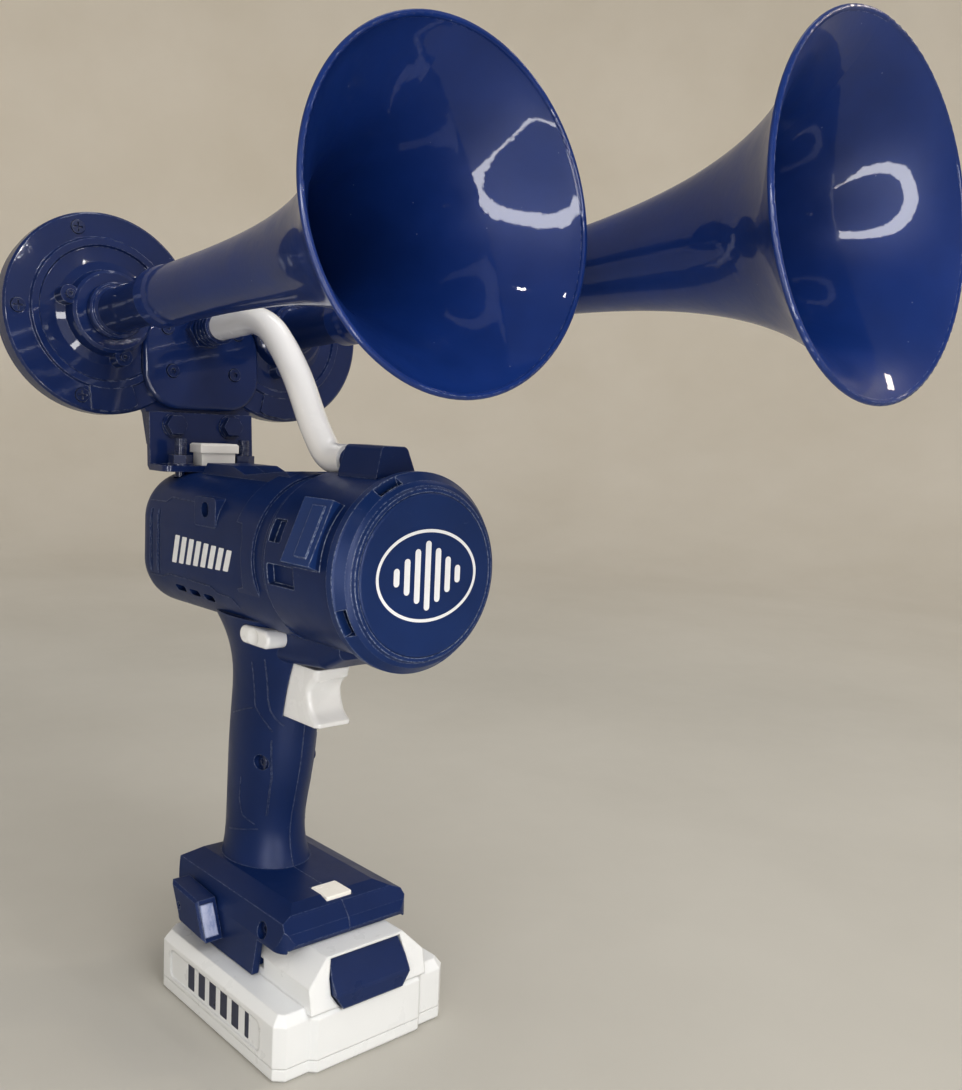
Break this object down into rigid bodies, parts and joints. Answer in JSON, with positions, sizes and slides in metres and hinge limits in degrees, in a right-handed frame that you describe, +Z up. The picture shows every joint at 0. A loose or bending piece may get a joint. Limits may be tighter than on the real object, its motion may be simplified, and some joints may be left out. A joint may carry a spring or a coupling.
{
  "type": "handheld air horn",
  "caption": "Hand-held battery air horn: a drill-like grip with a trigger drives an air pump that feeds flared trumpets through a white hose.",
  "frame": {"origin": "centre of the battery pack's flat underside, where the horn stands on a table", "axes": "+X forward, the way the trumpets point; +Y to the tool's left, the side of the longer trumpet; +Z up"},
  "size_m": [0.3579, 0.21, 0.3913],
  "materials": {
    "housing_navy": "satin moulded navy plastic",
    "housing_navy_light": "satin moulded lighter navy plastic",
    "horn_navy": "deep gloss navy plastic",
    "trumpet_navy": "gloss navy plastic, brighter inside the bells",
    "battery_white": "semi-gloss white plastic",
    "control_white": "gloss white plastic",
    "spacer_white": "plain white plastic",
    "lens_white": "milky white plastic",
    "hose_white": "gloss white hose",
    "button_navy": "gloss navy plastic",
    "bracket_navy": "gloss navy paint on steel",
    "fastener_navy": "dark painted steel",
    "fastener_steel": "zinc plated steel",
    "clip_face": "scuffed steel",
    "inner_black": "black plastic",
    "inner_steel": "steel",
    "inner_aluminium": "cast and machined aluminium",
    "magnet_grey": "sintered magnet",
    "copper": "copper",
    "cell_sleeve": "cell in a green sleeve",
    "board_green": "circuit board",
    "spring_steel": "spring steel",
    "filter_grey": "felt"
  },
  "bodies": {
    "tool": {"air_hose": "hose_white", "back_covers": "horn_navy", "bracket_bolts": "fastener_navy", "clip_block": "housing_navy", "clip_pad": "clip_face", "diaphragms": "spring_steel", "flange_nuts": "fastener_navy", "flange_studs": "fastener_navy", "front_cap": "housing_navy_light", "front_plate": "housing_navy_light", "horn_base": "horn_navy", "horn_screws": "fastener_navy", "housing_left": "housing_navy", "housing_right": "housing_navy", "housing_screws": "fastener_navy", "inlet_nipple": "horn_navy", "intake_filter": "filter_grey", "light_board": "board_green", "long_neck": "horn_navy", "long_trumpet": "trumpet_navy", "manifold_cover": "horn_navy", "motor_bearings": "inner_steel", "motor_brushes": "magnet_grey", "motor_can": "inner_steel", "motor_end_cap": "inner_black", "motor_magnets": "magnet_grey", "mount_bracket": "bracket_navy", "outlet_barb": "housing_navy", "outlet_block": "housing_navy", "pump_drum": "housing_navy_light", "pump_front_plate": "inner_aluminium", "pump_rear_plate": "inner_aluminium", "pump_ring": "inner_aluminium", "pump_screws": "fastener_steel", "rim_screws": "fastener_navy", "short_neck": "horn_navy", "short_trumpet": "trumpet_navy", "spacer_block": "spacer_white", "switch_module": "inner_black", "terminal_block": "inner_black", "trigger_spring": "spring_steel", "work_light_lens": "lens_white"},
    "trigger": {"trigger": "control_white"},
    "selector": {"selector_button": "control_white"},
    "battery": {"battery_lower_case": "battery_white", "battery_upper_case": "battery_white", "battery_cells": "cell_sleeve", "cell_straps": "copper", "battery_board": "board_green", "battery_terminals": "copper", "battery_screws": "fastener_steel", "release_springs": "spring_steel"},
    "release": {"release_button": "button_navy"},
    "rotor": {"motor_shaft": "inner_steel", "armature": "inner_steel", "commutator": "copper", "cooling_fan": "inner_black", "pump_rotor": "inner_aluminium", "pump_vanes": "inner_black"}
  },
  "joints": [
    {"name": "trigger_pull", "type": "slide", "parent": "tool", "child": "trigger", "axis": [-1, 0, 0], "range_m": [0, 0.0065], "stiffness_N_per_m": 900, "springref_m": -0.004, "deforming": ["trigger_spring"]},
    {"name": "selector_slide", "type": "slide", "parent": "tool", "child": "selector", "axis": [0, 1, 0], "range_m": [-0.003, 0.003]},
    {"name": "battery_slide", "type": "slide", "parent": "tool", "child": "battery", "axis": [1, 0, 0], "range_m": [0, 0.11]},
    {"name": "release_press", "type": "slide", "parent": "battery", "child": "release", "axis": [-1, 0, 0], "range_m": [0, 0.0035], "stiffness_N_per_m": 700, "springref_m": -0.003, "deforming": ["release_springs"]},
    {"name": "rotor_spin", "type": "hinge", "parent": "tool", "child": "rotor", "pos_m": [0, 0, 0.206], "axis": [1, 0, 0], "continuous": true}
  ]
}
